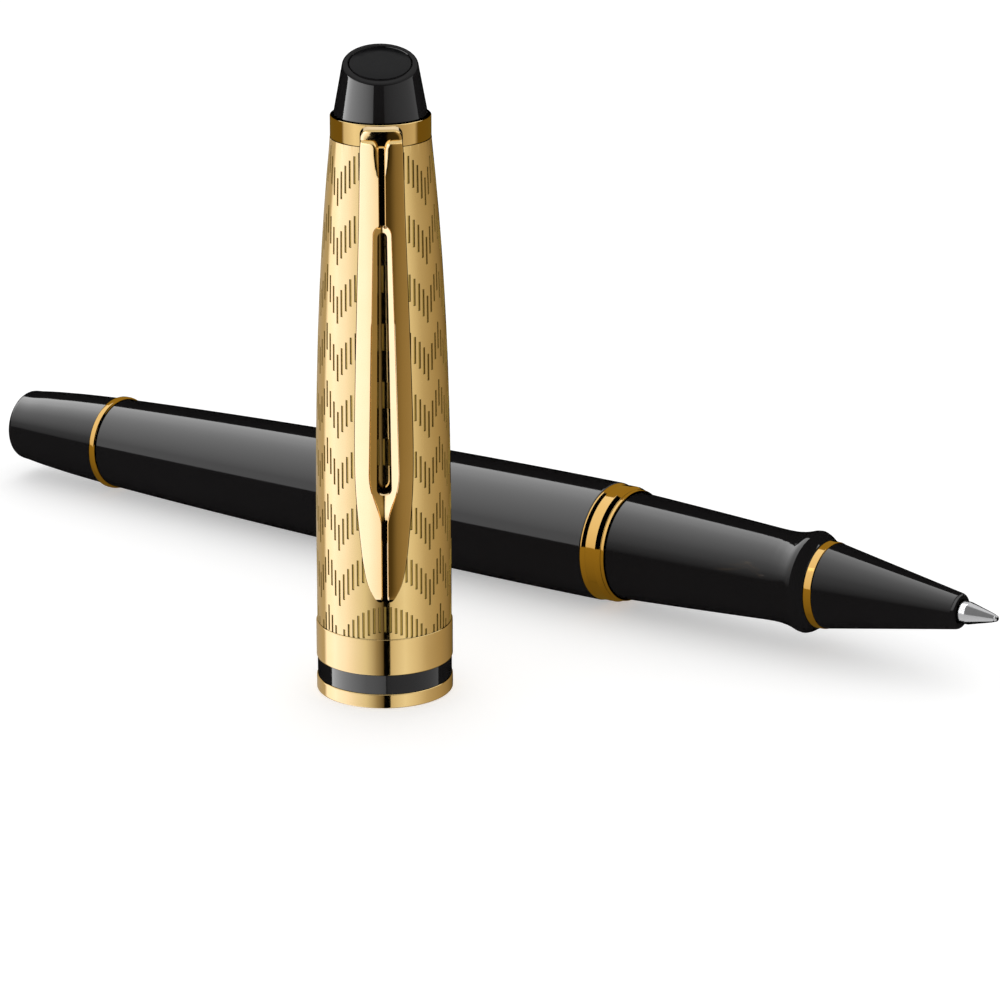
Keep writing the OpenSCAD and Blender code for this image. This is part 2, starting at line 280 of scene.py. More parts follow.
# Engraving: columns of short upright cuts. Their tops follow a wide arch in front of
# the clip and a zigzag round the rest of the sleeve.
COLUMNS = 78
CUT_HALF_WIDTH = 0.125
CUT_LENGTH = 2.77
CUT_DEPTH = 0.1
ROW_PITCH = 5.7
ROW_COUNT = 11
LOWEST_ARCH_TOP = 10.6
ARCH_REACH = 9
ARCH_SAG = 0.043
ZIGZAG_HALF = 3
ZIGZAG_RISE = 2.8
SLEEVE_WALL = 0.33
# how steeply the columns behind make up for those in front, which keep their spacing
CLOSING_BEHIND = 1.26
# Upright grid lines of one column, in half-widths of its cut from its middle, and whether
# they lie on the cut's floor. The first is the border with the column before.
ACROSS = [(None, 0), (-1.6, 0), (-1, 0), (-0.72, 1), (0, 1), (0.72, 1), (1, 0), (1.6, 0)]
# Level grid lines of one row, in mm from the cuts' lower ends, and whether on the floor
UP = [(0.0, 0), (0.06, 0), (0.1, 1), (CUT_LENGTH / 2, 1), (CUT_LENGTH - 0.1, 1),
      (CUT_LENGTH - 0.06, 0), (CUT_LENGTH, 0), (CUT_LENGTH + 0.9, 0), (CUT_LENGTH + 1.9, 0)]


def cut_top_offset(column):
    """Height of a column's cuts over the arch's crown; column counts from the clip."""
    n = abs(column)
    if n <= ARCH_REACH:
        return -ARCH_SAG * n * n
    climb = (n - ARCH_REACH) % (2 * ZIGZAG_HALF)
    climb = min(climb, 2 * ZIGZAG_HALF - climb)
    return -ARCH_SAG * ARCH_REACH ** 2 + ZIGZAG_RISE * climb / ZIGZAG_HALF


def sleeve_columns(widest):
    """Angle, floor flag and shift upwards of every upright grid line."""
    pitch_angle = 2 * math.pi / COLUMNS
    half_angle = CUT_HALF_WIDTH / widest
    lines = []
    for c in range(COLUMNS):
        column = (c + COLUMNS // 2) % COLUMNS - COLUMNS // 2
        for offset, floor in ACROSS:
            if offset is None:
                shift = (cut_top_offset(column) + cut_top_offset(column - 1)) / 2
                lines.append(((column - 0.5) * pitch_angle, floor, shift))
            else:
                shift = cut_top_offset(column)
                lines.append((column * pitch_angle + offset * half_angle, floor, shift))
    return np.array(lines).T


def sleeve_levels():
    """Height before the shift and floor flag of every level grid line."""
    first_row = LOWEST_ARCH_TOP - CUT_LENGTH - ROW_PITCH
    lines = [(first_row + row * ROW_PITCH + height, floor) for row in range(ROW_COUNT)
             for height, floor in UP]
    levels, floors = np.array(lines).T
    # the topmost row only carries the grid up past the clip ring
    floors[len(UP) * (ROW_COUNT - 1):] = 0
    return levels, floors


def make_engraved_sleeve():
    """Sleeve whose grid follows the cuts, trimmed level at both ends."""
    outer_rings = rings("cap_sleeve", cap)
    widest = outer_rings[0][1]
    angles, side_floor, shift = sleeve_columns(widest)
    levels, level_floor = sleeve_levels()
    heights = levels[:, None] + shift[None, :]
    cut = level_floor[:, None] * side_floor[None, :]
    surface = curve_through(outer_rings, heights.ravel()).reshape(heights.shape)
    radius = surface - CUT_DEPTH * cut
    # as the sleeve narrows, the columns keep their spacing in front and close up behind
    behind = CLOSING_BEHIND * (math.pi - np.abs(angles))
    spread_out = np.sign(angles) * np.minimum(np.abs(angles), behind)
    turn = angles[None, :] + (widest / surface - 1) * spread_out[None, :]
    verts = np.stack([radius * np.cos(turn), radius * np.sin(turn), heights], axis=2).reshape(-1, 3)
    faces = tube_faces(len(levels), len(angles))
    cut = cut.ravel()
    floors = [cut[list(face)].any() for face in faces]
    piece = make_mesh("engraved_sleeve", verts, faces, clip_place, "cap", "engraved_gold", smooth=False)
    finish_sleeve(piece, outer_rings, floors)
    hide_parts("cap_sleeve")


def finish_sleeve(piece, outer_rings, floors):
    """Trims the sleeve level at both ends, closes it with an inner wall and marks the cuts' floors, which
    take a darker gold that is painted shade.
    """
    mesh = piece.data
    # faces on the cuts' floors take the second material, a darker gold that is painted shade in the cuts
    mesh.polygons.foreach_set("material_index", [1 if f else 0 for f in floors])
    work = bmesh.new()
    work.from_mesh(mesh)
    for level, upward in ((BAND_TOP * MM, False), (SLEEVE_TOP * MM, True)):
        bmesh.ops.bisect_plane(work, geom=work.verts[:] + work.edges[:] + work.faces[:], dist=1e-7,
                               plane_co=(0, 0, level), plane_no=(0, 0, 1),
                               clear_outer=upward, clear_inner=not upward)
    rim = [e for e in work.edges if e.is_boundary]
    grown = bmesh.ops.extrude_edge_only(work, edges=rim)["geom"]
    inner_edges = [g for g in grown if isinstance(g, bmesh.types.BMEdge)]
    for vert in [g for g in grown if isinstance(g, bmesh.types.BMVert)]:
        height = vert.co.z / MM
        inner = (float(curve_through(outer_rings, [height])[0]) - SLEEVE_WALL) * MM
        scale = inner / math.hypot(vert.co.x, vert.co.y)
        vert.co.x *= scale
        vert.co.y *= scale
    bridged = bmesh.ops.bridge_loops(work, edges=inner_edges)
    for face in bridged["faces"]:
        face.material_index = 0
    bmesh.ops.recalc_face_normals(work, faces=work.faces[:])
    work.to_mesh(mesh)
    work.free()
    mesh.shade_smooth()
    mesh.set_sharp_from_angle(angle=math.radians(30))


# Finial: a cone cut by a slanted plane, with an inlaid disc in the slanted face
FINIAL_R = 4.55
FINIAL_TAPER = 0.184
FINIAL_STEM_R = 2.97
FINIAL_EDGE = 0.2
SLANT_MID = 63.2
SLANT_ANGLE = math.radians(18.2)
DISC_R = 3.0
SEAT_DEPTH = 0.4


def slant_frame():
    """Frame of the finial's slanted face, its Z upright on the face."""
    middle = Matrix.Translation((0, 0, SLANT_MID * MM))
    return clip_place @ middle @ Matrix.Rotation(SLANT_ANGLE, 4, "Y")


def slanted_rim(angles):
    """Points where the finial's cone meets the slanted plane."""
    slant = math.tan(SLANT_ANGLE)
    wide = FINIAL_R + FINIAL_TAPER * COLLAR_TOP
    height = (SLANT_MID - slant * np.cos(angles) * wide) / (1 - slant * FINIAL_TAPER * np.cos(angles))
    return level_ring(wide - FINIAL_TAPER * height, 0, angles) + height[:, None] * np.array([0, 0, 1])


def rounded_rim(corner, wall_way, face_way, steps=8):
    """Rows of points that lead round the rim from the cone onto the slanted face."""
    start = corner + wall_way * FINIAL_EDGE
    end = corner + face_way * FINIAL_EDGE
    rows = [corner + wall_way * FINIAL_EDGE * 1.15]
    for k in range(steps + 1):
        t = k / steps
        rows.append((1 - t) ** 2 * start + 2 * t * (1 - t) * corner + t * t * end)
    return rows + [corner + face_way * FINIAL_EDGE * 1.15]


def make_finial():
    """Turned cone whose top edge follows the slanted plane, rounded over into the face."""
    angles = circle(AROUND)
    corner = slanted_rim(angles)
    wall_way = level_ring(FINIAL_TAPER, -1, angles)
    wall_way /= np.linalg.norm(wall_way, axis=1)[:, None]
    middle = np.array([0, 0, SLANT_MID])
    face_way = (middle - corner) / np.linalg.norm(middle - corner, axis=1)[:, None]
    face_up = np.array([math.sin(SLANT_ANGLE), 0, math.cos(SLANT_ANGLE)])
    rows = []
    for radius, height in ((FINIAL_STEM_R, SLEEVE_TOP), (FINIAL_STEM_R, COLLAR_TOP),
                           (FINIAL_R - 0.12, COLLAR_TOP),
                           (FINIAL_R - FINIAL_TAPER * 0.1, COLLAR_TOP + 0.1),
                           (FINIAL_R - FINIAL_TAPER * 0.13, COLLAR_TOP + 0.13)):
        rows.append(level_ring(radius, height, angles))
    rows += rounded_rim(corner, wall_way, face_way)
    # the inlay's round seat in the slanted face
    for radius, depth in ((DISC_R + 0.16, 0), (DISC_R + 0.1, 0.01), (DISC_R + 0.03, 0.1), (DISC_R, 0.25),
                          (DISC_R, SEAT_DEPTH), (1.6, SEAT_DEPTH)):
        rows.append(middle - face_way * radius - face_up * depth)
    verts = np.concatenate(rows + [np.array([middle - face_up * SEAT_DEPTH, [0, 0, SLEEVE_TOP]])])
    faces = tube_faces(len(rows), AROUND)
    seat_middle, foot_middle = len(verts) - 2, len(verts) - 1
    last = (len(rows) - 1) * AROUND
    for a in range(AROUND):
        b = (a + 1) % AROUND
        faces.append((last + a, last + b, seat_middle))
        faces.append((b, a, foot_middle))
    piece = make_mesh("finial_visual", verts, faces, clip_place, "cap", "black_lacquer")
    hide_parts("finial")


def make_finial_disc():
    """Inlaid disc, a little domed."""
    edge = DISC_R - 0.01
    outline = [(-SEAT_DEPTH, 0), (-SEAT_DEPTH, edge), (-0.07, edge, 0.08)]
    outline += [(0.02 - 0.05 * (r / DISC_R) ** 2, r) for r in (2.4, 1.8, 1.2, 0.6, 0)]
    piece = turned("finial_disc_visual", outline, slant_frame(), "cap", "finial_inlay")
    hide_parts("finial_disc")


# Clip, drawn facing +X. Its front and back are (height, distance from the cap's axis), its
# outline (height, half of the width).
CLIP_FOOT = 11.2
CLIP_CREST = [(11.2, 7.25), (11.24, 7.4), (11.35, 7.56), (11.53, 7.71), (11.8, 7.84), (12.2, 7.93),
              (13, 8.02), (15.3, 8.25), (19.5, 8.65), (22.6, 8.86), (26, 9.0), (34, 8.95),
              (40, 8.68), (48, 8.13), (51.7, 7.8), (55.6, 7.38), (57.6, 6.95)]
CLIP_HALF_WIDTH = [(11.2, 0.35), (11.3, 0.6), (11.6, 0.88), (12.15, 1.21), (13.2, 1.67), (13.85, 1.84),
                   (15.5, 2.13), (18, 2.4), (21, 2.66), (24, 2.82), (27, 2.85), (34, 2.72), (42, 2.48),
                   (50, 2.22), (55, 2.1), (56.8, 2.03), (57.3, 1.94), (57.6, 1.84), (57.8, 1.8)]
CLIP_BACK = [(11.2, 7.0), (11.6, 6.85), (12.4, 6.74), (13.2, 6.72), (14.4, 6.8), (16, 7.2), (20, 7.75),
             (26, 7.98), (34, 7.88), (40, 7.6), (48, 6.95), (51.7, 6.6), (55.6, 6.2), (56.6, 5.75),
             (57.2, 5.6)]
SLOT_LOW, SLOT_HIGH = 22.4, 48.4
SLOT_HALF_LOW, SLOT_HALF_HIGH = 0.74, 0.46
WELL_LOW, WELL_WIDE, WELL_HIGH = 19.6, 24.6, 49.2
WELL_HALF_LOW, WELL_HALF_HIGH = 1.42, 0.86
GROOVE_HALF = 0.31
LOBE_TOP = 57.25
# how the front falls away from its crest to both sides
ARCH_PITCH = 0.1
ARCH_DROP = 0.034
ARCH_POWER = 2.6


def slot_half(height):
    """Half of the slot's width, with rounded ends; 0 where the clip has no slot."""
    if height <= SLOT_LOW or height >= SLOT_HIGH:
        return 0.0
    share = (height - SLOT_LOW) / (SLOT_HIGH - SLOT_LOW)
    half = SLOT_HALF_LOW + (SLOT_HALF_HIGH - SLOT_HALF_LOW) * share
    to_end = min(height - SLOT_LOW, SLOT_HIGH - height)
    if to_end < half:
        half *= math.sqrt(1 - (1 - to_end / half) ** 2)
    return half


def well_half(height):
    """Half of the width of the sunk well round the slot, which runs out in the groove."""
    if height >= WELL_HIGH:
        return GROOVE_HALF
    if height >= WELL_WIDE:
        share = (height - WELL_WIDE) / (WELL_HIGH - WELL_WIDE)
        half = WELL_HALF_LOW + (WELL_HALF_HIGH - WELL_HALF_LOW) * share
        to_end = WELL_HIGH - height
        if to_end < half:
            half = max(GROOVE_HALF, half * math.sqrt(1 - (1 - to_end / half) ** 2))
        return half
    if height > WELL_LOW:
        share = (height - WELL_LOW) / (WELL_WIDE - WELL_LOW)
        return GROOVE_HALF + (WELL_HALF_LOW - GROOVE_HALF) * math.sin(share * math.pi / 2) ** 1.5
    return GROOVE_HALF


def smooth(value):
    """0 to 1 step with soft ends."""
    value = min(1.0, max(0.0, value))
    return value * value * (3 - 2 * value)


def lobe_fall(y):
    """How far the top of a lobe stands below its highest point, towards the groove."""
    share = min(1.0, max(0.0, (0.95 - abs(y)) / 0.62))
    return 0.85 * (1 - math.sqrt(1 - 0.97 * share * share))


def clip_front(height, y):
    """Distance of the clip's front from the cap's axis, at a level of the clip's grid."""
    crest = float(curve_through(CLIP_CREST, [height])[0])
    arch = crest - ARCH_PITCH * abs(y) - ARCH_DROP * abs(y) ** ARCH_POWER
    half = well_half(height)
    wall = smooth((half + 0.03 - abs(y)) / 0.06)
    reach = max(0.0, half - abs(y)) / half
    is_well = smooth((half - GROOVE_HALF) / 0.45)
    groove_depth = 0.34 - 0.08 * smooth((WELL_LOW - height) / 3)
    sunk = (1 - is_well) * groove_depth + is_well * (0.26 + 0.45 * reach)
    # the tops of the two lobes are domed, and the space under the hood is sunk
    into_dome = min(1.0, max(0.0, (height - LOBE_TOP + 0.6) / 0.6))
    dome = 0.75 * (1 - math.sqrt(1 - into_dome ** 2))
    floor = crest - ARCH_PITCH * half - sunk
    return min(arch + wall * (floor - arch), arch - dome)


def clip_level(height, y):
    """Height of a grid point: the top levels dip between the lobes."""
    if height < LOBE_TOP:
        dip = smooth((height - 53.5) / 2.5)
    else:
        dip = max(0.0, 1 - (height - LOBE_TOP) / 0.42)
    return height - dip * lobe_fall(y)


def clip_heights():
    """Levels of the clip's grid, close together where its outline turns."""
    foot_steps = (0, 0.02, 0.05, 0.1, 0.16, 0.24, 0.33, 0.45, 0.6, 0.8, 1.05, 1.35, 1.7, 2)
    heights = [CLIP_FOOT + d for d in foot_steps]
    heights += list(np.arange(13.5, WELL_LOW, 0.5))
    heights += list(np.arange(WELL_LOW, SLOT_LOW, 0.28))
    heights += [SLOT_LOW + d for d in (0, 0.02, 0.06, 0.12, 0.22, 0.35, 0.5, 0.65)]
    heights += list(np.arange(SLOT_LOW + 0.9, SLOT_HIGH - 0.6, 0.7))
    heights += [SLOT_HIGH - d for d in (0.45, 0.3, 0.2, 0.12, 0.06, 0.02, 0)]
    heights += [SLOT_HIGH + d for d in (0.15, 0.3, 0.45, 0.56, 0.64, 0.7, 0.75, 0.78, 0.8)]
    return heights + list(np.arange(WELL_HIGH + 0.4, 55.4, 0.6)) + list(np.arange(55.6, 57.6, 0.08))


def clip_row(h):
    """Front and back points of half of the clip at one level, from the middle outwards and
    then back to the middle."""
    inner = slot_half(h)
    outer = float(curve_through(CLIP_HALF_WIDTH, [h])[0])
    behind = float(curve_through(CLIP_BACK, [h])[0])
    well = min(well_half(h), outer * 0.5)
    foot = well - 0.032
    ys = [inner + (foot - inner) * c for c in (0, 0.3, 0.6, 0.85, 1)]
    ys += [well + d for d in (-0.02, -0.01, 0, 0.01, 0.02, 0.032, 0.1)]
    start = ys[-1]
    ys += [start + (outer - start) * t for t in (0.08, 0.17, 0.27, 0.4, 0.55, 0.68, 0.8, 0.9, 0.96)]
    front = [[clip_front(h, y), y, clip_level(h, y)] for y in ys]
    # rounded side edge, sharper at the very tip
    edge_x, _, edge_z = front[-1]
    tip = smooth((h - CLIP_FOOT) / 0.9)
    thick = max(0.12, min(edge_x - behind, 0.5))
    for share, drop in ((0.985, 0.06), (0.998, 0.16), (1.0, 0.28), (1.0, 0.28 + 0.6 * thick)):
        front.append([edge_x - drop * (0.4 + 0.6 * tip), outer * share, edge_z])
    behind = min(behind, front[-1][0] - 0.05)
    back = [[behind, y, h] for y in np.linspace(outer * 0.97, inner, len(ys) - 1)]
    return front + back


def make_clip():
    """Sprung clip: two lobes with a groove between them, a slot in a sunk well, and a hood."""
    verts, faces = mirrored_grid([clip_row(h) for h in clip_heights()])
    piece = make_mesh("clip_visual", verts, faces, clip_place, "pocket_clip", "polished_gold", smooth=False)
    join_halves(piece)
    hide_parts("clip")


def mirrored_grid(loops):
    """Mesh of a half given by one loop of points per level, and of its mirror image. The halves
    are open where they meet, and capped at both ends."""
    rows, size = len(loops), len(loops[0])
    verts, faces = [], []
    for mirror in (1, -1):
        offset = len(verts)
        verts += [[x, y * mirror, z] for loop in loops for x, y, z in loop]
        for i in range(rows - 1):
            slot_here = max(loops[i][0][1], loops[i + 1][0][1]) > 1e-9
            for k in range(size if slot_here else size - 1):
                n = (k + 1) % size
                quad = [offset + i * size + k, offset + i * size + n,
                        offset + (i + 1) * size + n, offset + (i + 1) * size + k]
                faces.append(quad if mirror > 0 else quad[::-1])
        for i in (0, rows - 1):
            start = offset + i * size
            for k in range(size // 2):
                a, b = start + k, start + k + 1
                c, d = start + size - 2 - k, start + size - 1 - k
                if b < c:
                    faces.append([a, b, c, d])
                elif b == c:
                    faces.append([a, b, d])
    return verts, faces


def join_halves(piece):
    """Joins points that meet and turns every face outwards."""
    work = bmesh.new()
    work.from_mesh(piece.data)
    bmesh.ops.remove_doubles(work, verts=work.verts[:], dist=2e-7)
    bmesh.ops.dissolve_degenerate(work, edges=work.edges[:], dist=1e-8)
    bmesh.ops.recalc_face_normals(work, faces=work.faces[:])
    work.to_mesh(piece.data)
    work.free()
    piece.data.shade_smooth()
    piece.data.set_sharp_from_angle(angle=math.radians(60))


# Block by which the clip hangs from the collar
BLOCK_HALF = 2.04
BLOCK_TOP = 58.1
BLOCK_FRONT = 6.5
BLOCK_FOOT = 56.3
BLOCK_CORNER = 0.85
BLOCK_ROUNDING = 0.35
COLLAR_GAP_R = 4.99


def block_outline(inset):
    """Front view of the block, its top corners rounded, drawn in by inset."""
    half, top, radius = BLOCK_HALF - inset, BLOCK_TOP - inset, BLOCK_CORNER - inset
    right = [(half, BLOCK_FOOT), (half, 57)]
    for k in range(9):
        turn = k / 8 * math.pi / 2
        right.append((half - radius * (1 - math.cos(turn)), top - radius * (1 - math.sin(turn))))
    right += [(0.9, top), (0, top)]
    return right + [(-y, z) for y, z in right[-2::-1]]


def block_layers():
    """Distance from the axis and inset of each layer, from the back to the rounded front."""
    layers = [(COLLAR_GAP_R, 0), (BLOCK_FRONT - BLOCK_ROUNDING - 0.04, 0)]
    for k in range(7):
        turn = k / 6 * math.pi / 2
        layers.append((BLOCK_FRONT - BLOCK_ROUNDING * (1 - math.sin(turn)),
                       BLOCK_ROUNDING * (1 - math.cos(turn))))
    return layers + [(BLOCK_FRONT, BLOCK_ROUNDING + 0.08)]


def make_clip_block():
    """Flat-topped block with a rounded front edge; its back follows the collar."""
    verts = []
    for layer, (x, inset) in enumerate(block_layers()):
        outline = block_outline(inset)
        for y, z in outline:
            arched = x - 0.03 * y * y if layer else math.sqrt(x * x - y * y)
            verts.append((arched, y, z))
    size = len(outline)
    faces = tube_faces(len(verts) // size, size)
    last = len(verts) - size
    middle = (0, BLOCK_FOOT + 0.5)
    verts += [(BLOCK_FRONT - 0.02, *middle), (COLLAR_GAP_R, *middle)]
    for k in range(size):
        n = (k + 1) % size
        faces.append((last + k, last + n, len(verts) - 2))
        faces.append((n, k, len(verts) - 1))
    piece = make_mesh("clip_block_visual", verts, faces, clip_place, "pocket_clip", "polished_gold",
                      smooth=False)
    join_halves(piece)
    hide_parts("clip")


# ---------------------------------------------------------------- pen

# Stations where the pen's parts meet
TAIL_FACE = -12.8
TAIL_RING_END = 0.9
BARREL_END = 66.2
CENTRE_RING_END = 68.95
GRIP_END = 92.03
FRONT_RING_END = 92.95
NOSE_END = 107.8
BALL_MIDDLE = 111.6
# Radii of bores and of the parts that fit in them
TAIL_BORE_R = 3.44
BARREL_BORE_R = 4.1
BUSH_BORE_R = 5.41
SECTION_BORE_R = 3.06
NOSE_SEAT_R = 3.89
REFILL_BORE_R = 2.31
TIP_BORE_R = 1.21
TIP_R = 1.15
TIP_CORE_R = 0.2
BALL_R = 0.345


def pen_piece(node, outline, body, slot):
    """Turned piece on the pen's axis in place of a CAD node."""
    piece = turned(node + "_visual", outline, pen, body, slot)
    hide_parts(node)


def make_tail_cap():
    tail = outermost([(s, r) for s, r in rings("tail_cap", pen) if s <= 0])
    shell = skin([p for p in tail if p[0] >= -12.4], 0.8)
    pen_piece("tail_cap",
              [(-7.5, 0), (TAIL_FACE, 0), (TAIL_FACE, 3.84, 0.55)] + shell[1:-1] +
              [(0, 4.87, 0.12), (0, TAIL_BORE_R), (7, TAIL_BORE_R), (7, 2.5), (-7.5, 2.5)],
              "pen_barrel", "black_lacquer")


def make_tail_ring():
    bore = TAIL_BORE_R + 0.01
    pen_piece("tail_ring",
              [(0, bore), (0, 5.15, 0.3), (TAIL_RING_END, 5.15, 0.3), (TAIL_RING_END, bore)],
              "pen_barrel", "polished_gold")


def make_barrel():
    outer = skin(outermost(rings("barrel", pen)), 1.2)
    rear_bore = TAIL_BORE_R + 0.01
    pen_piece("barrel",
              [(TAIL_RING_END, rear_bore), (TAIL_RING_END, outer[0][1], 0.1)] + outer[1:-1] +
              [(BARREL_END, outer[-1][1], 0.12), (BARREL_END, BUSH_BORE_R), (57.8, BUSH_BORE_R),
               (57.8, BARREL_BORE_R), (12, BARREL_BORE_R), (12, rear_bore)],
              "pen_barrel", "black_lacquer")


def make_centre_ring():
    """Stepped ring: a bead, a deep groove, a broad band and a narrow one."""
    s = BARREL_END
    pen_piece("centre_ring",
              [(s, 4.66), (s, 6.13, 0.05), (s + 0.1, 6.15, 0.05), (s + 0.2, 6.12, 0.04),
               (s + 0.58, 5.95, 0.03), (s + 0.62, 6.08, 0.04), (s + 1.8, 6.08, 0.04), (s + 2.3, 5.8, 0.04),
               (s + 2.4, 5.86, 0.06), (CENTRE_RING_END, 5.84, 0.1), (CENTRE_RING_END, 4.66)],
              "section", "polished_gold")


def make_grip():
    outer = skin([p for p in rings("grip", pen) if p[1] > 4.3], 0.35)
    pen_piece("grip",
              [(CENTRE_RING_END, 4.21), (CENTRE_RING_END, outer[0][1], 0.12)] + outer[1:-1] +
              [(GRIP_END, outer[-1][1], 0.05), (GRIP_END, NOSE_SEAT_R), (84, NOSE_SEAT_R),
               (84, SECTION_BORE_R), (78, SECTION_BORE_R), (78, 4.21)],
              "section", "black_lacquer")


def make_front_ring():
    pen_piece("front_ring",
              [(GRIP_END, NOSE_SEAT_R), (GRIP_END, 4.5, 0.12), (FRONT_RING_END, 4.46, 0.12),
               (FRONT_RING_END, NOSE_SEAT_R)],
              "section", "polished_gold")


def make_nose_cone():
    wide, narrow = (FRONT_RING_END, 4.4), (107.4, 1.86)
    side = [tuple(w + (n - w) * k / 6 for w, n in zip(wide, narrow)) for k in range(1, 6)]
    pen_piece("nose_cone",
              [(84, SECTION_BORE_R), (84, 3.88), (FRONT_RING_END, 3.88), (*wide, 0.06)] + side +
              [(NOSE_END, 1.79, 0.42), (NOSE_END, TIP_BORE_R, 0.08), (100.05, TIP_BORE_R),
               (100.05, REFILL_BORE_R), (FRONT_RING_END, REFILL_BORE_R), (FRONT_RING_END, SECTION_BORE_R)],
              "section", "black_lacquer")


def make_refill_tip():
    pen_piece("refill_tip",
              [(97, 0.7), (97, TIP_R), (108.68, TIP_R, 0.08), (111.2, 0.5, 0.1), (111.55, 0.38, 0.05),
               (111.62, TIP_CORE_R), (108.3, TIP_CORE_R), (108.3, 0.7)],
              "refill", "tip_steel")


def make_writing_ball():
    arc = [math.pi * k / 12 for k in range(1, 12)]
    around = [(BALL_MIDDLE - BALL_R * math.cos(a), BALL_R * math.sin(a)) for a in arc]
    pen_piece("writing_ball", [(BALL_MIDDLE - BALL_R, 0)] + around + [(BALL_MIDDLE + BALL_R, 0)],
              "ball", "tip_steel")


def make_pen():
    make_tail_cap()
    make_tail_ring()
    make_barrel()
    make_centre_ring()
    make_grip()
    make_front_ring()
    make_nose_cone()
    make_refill_tip()
    make_writing_ball()


THREAD_PITCH = 1.0
THREAD_ROOT_R = 4.34
THREAD_CREST_R = 4.65
THREAD_START = 60.2
THREAD_END = 65.6


def make_thread():
    """Brass sleeve whose rear carries a real helical thread."""
    angles = circle(96)
    rows = []
    for s in np.arange(THREAD_START, THREAD_END, 0.1):
        phase = (s / THREAD_PITCH - angles / (2 * math.pi)) % 1
        wave = np.clip(1.5 - np.abs(phase - 0.5) * 5, 0, 1)
        fade = min(1.0, (s - THREAD_START) / 0.6, (THREAD_END - s) / 0.4)
        radius = THREAD_ROOT_R + (THREAD_CREST_R - THREAD_ROOT_R) * wave * fade
        rows.append(level_ring(radius, s, angles))
    for s, radius in ((65.7, THREAD_ROOT_R), (65.8, THREAD_CREST_R), (CENTRE_RING_END, THREAD_CREST_R),
                      (CENTRE_RING_END, 4.2), (78, 4.2), (78, SECTION_BORE_R),
                      (THREAD_START, SECTION_BORE_R)):
        rows.append(level_ring(radius, s, angles))
    faces = tube_faces(len(rows), len(angles), last_to_first=True)
    piece = make_mesh("thread_sleeve_visual", np.concatenate(rows), faces, pen, "section", "brass_fitting",
                      hard_angle=40)
    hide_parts("thread_sleeve")


# ---------------------------------------------------------------- materials

def shader(name):
    """Material, its nodes, its links and its main shader."""
    material = bpy.data.materials.new(name)
    material.use_nodes = True
    nodes = material.node_tree.nodes
    return material, nodes, material.node_tree.links, nodes["Principled BSDF"]


def noise(nodes, links, scale, detail=3.0):
    """Noise fixed to the object."""
    where = nodes.new("ShaderNodeTexCoord")
    texture = nodes.new("ShaderNodeTexNoise")
    texture.inputs["Scale"].default_value = scale
    texture.inputs["Detail"].default_value = detail
    links.new(where.outputs["Object"], texture.inputs["Vector"])
    return texture


def spread(nodes, links, source, low, high):
    """Maps the middle of a texture's range onto low to high."""
    ramp = nodes.new("ShaderNodeMapRange")
    ramp.inputs["From Min"].default_value = 0.3
    ramp.inputs["From Max"].default_value = 0.7
    ramp.inputs["To Min"].default_value = low
    ramp.inputs["To Max"].default_value = high
    links.new(source, ramp.inputs["Value"])
    return ramp.outputs["Result"]


def bumped(nodes, links, principled, source, distance):
    """Lets a texture stand out of the surface by a distance in metres."""
    bump = nodes.new("ShaderNodeBump")
    bump.inputs["Strength"].default_value = 1.0
    bump.inputs["Distance"].default_value = distance
    links.new(source, bump.inputs["Height"])
    links.new(bump.outputs["Normal"], principled.inputs["Normal"])


def tinted(nodes, links, source, dark, light):
    """Colour that wanders between two tints with a texture."""
    mix = nodes.new("ShaderNodeMix")
    mix.data_type = "RGBA"
    mix.inputs["A"].default_value = (*dark, 1)
    mix.inputs["B"].default_value = (*light, 1)
    links.new(source, mix.inputs["Factor"])
    return mix.outputs["Result"]


def metal(name, dark, light, rough_low, rough_high, grain=0.0):
    """Plated or drawn metal: fine variation in tint and gloss, optional satin grain."""
    material, nodes, links, principled = shader(name)
    cloud = noise(nodes, links, 260)
    links.new(tinted(nodes, links, cloud.outputs["Fac"], dark, light), principled.inputs["Base Color"])
    fine = noise(nodes, links, 2600)
    roughness = spread(nodes, links, fine.outputs["Fac"], rough_low, rough_high)
    links.new(roughness, principled.inputs["Roughness"])
    principled.inputs["Metallic"].default_value = 1
    if grain:
        speck = noise(nodes, links, 9000, 1)
        bumped(nodes, links, principled, speck.outputs["Fac"], grain)
    return material


def lacquer(name, colour, rough_low, rough_high):
    """Glossy black resin with a barely visible polish texture."""
    material, nodes, links, principled = shader(name)
    cloud = noise(nodes, links, 180)
    lighter = tuple(c * 1.25 for c in colour)
    links.new(tinted(nodes, links, cloud.outputs["Fac"], colour, lighter), principled.inputs["Base Color"])
    fine = noise(nodes, links, 1500)
    roughness = spread(nodes, links, fine.outputs["Fac"], rough_low, rough_high)
    links.new(roughness, principled.inputs["Roughness"])
    principled.inputs["IOR"].default_value = 1.5
    return material


def fibre(name, dark, light):
    """Ink-soaked fibre with streaks along it."""
    material, nodes, links, principled = shader(name)
    streak = noise(nodes, links, 1400, 6)
    links.new(tinted(nodes, links, streak.outputs["Fac"], dark, light), principled.inputs["Base Color"])
    bumped(nodes, links, principled, streak.outputs["Fac"], 0.00005)
    principled.inputs["Roughness"].default_value = 0.9
    return material


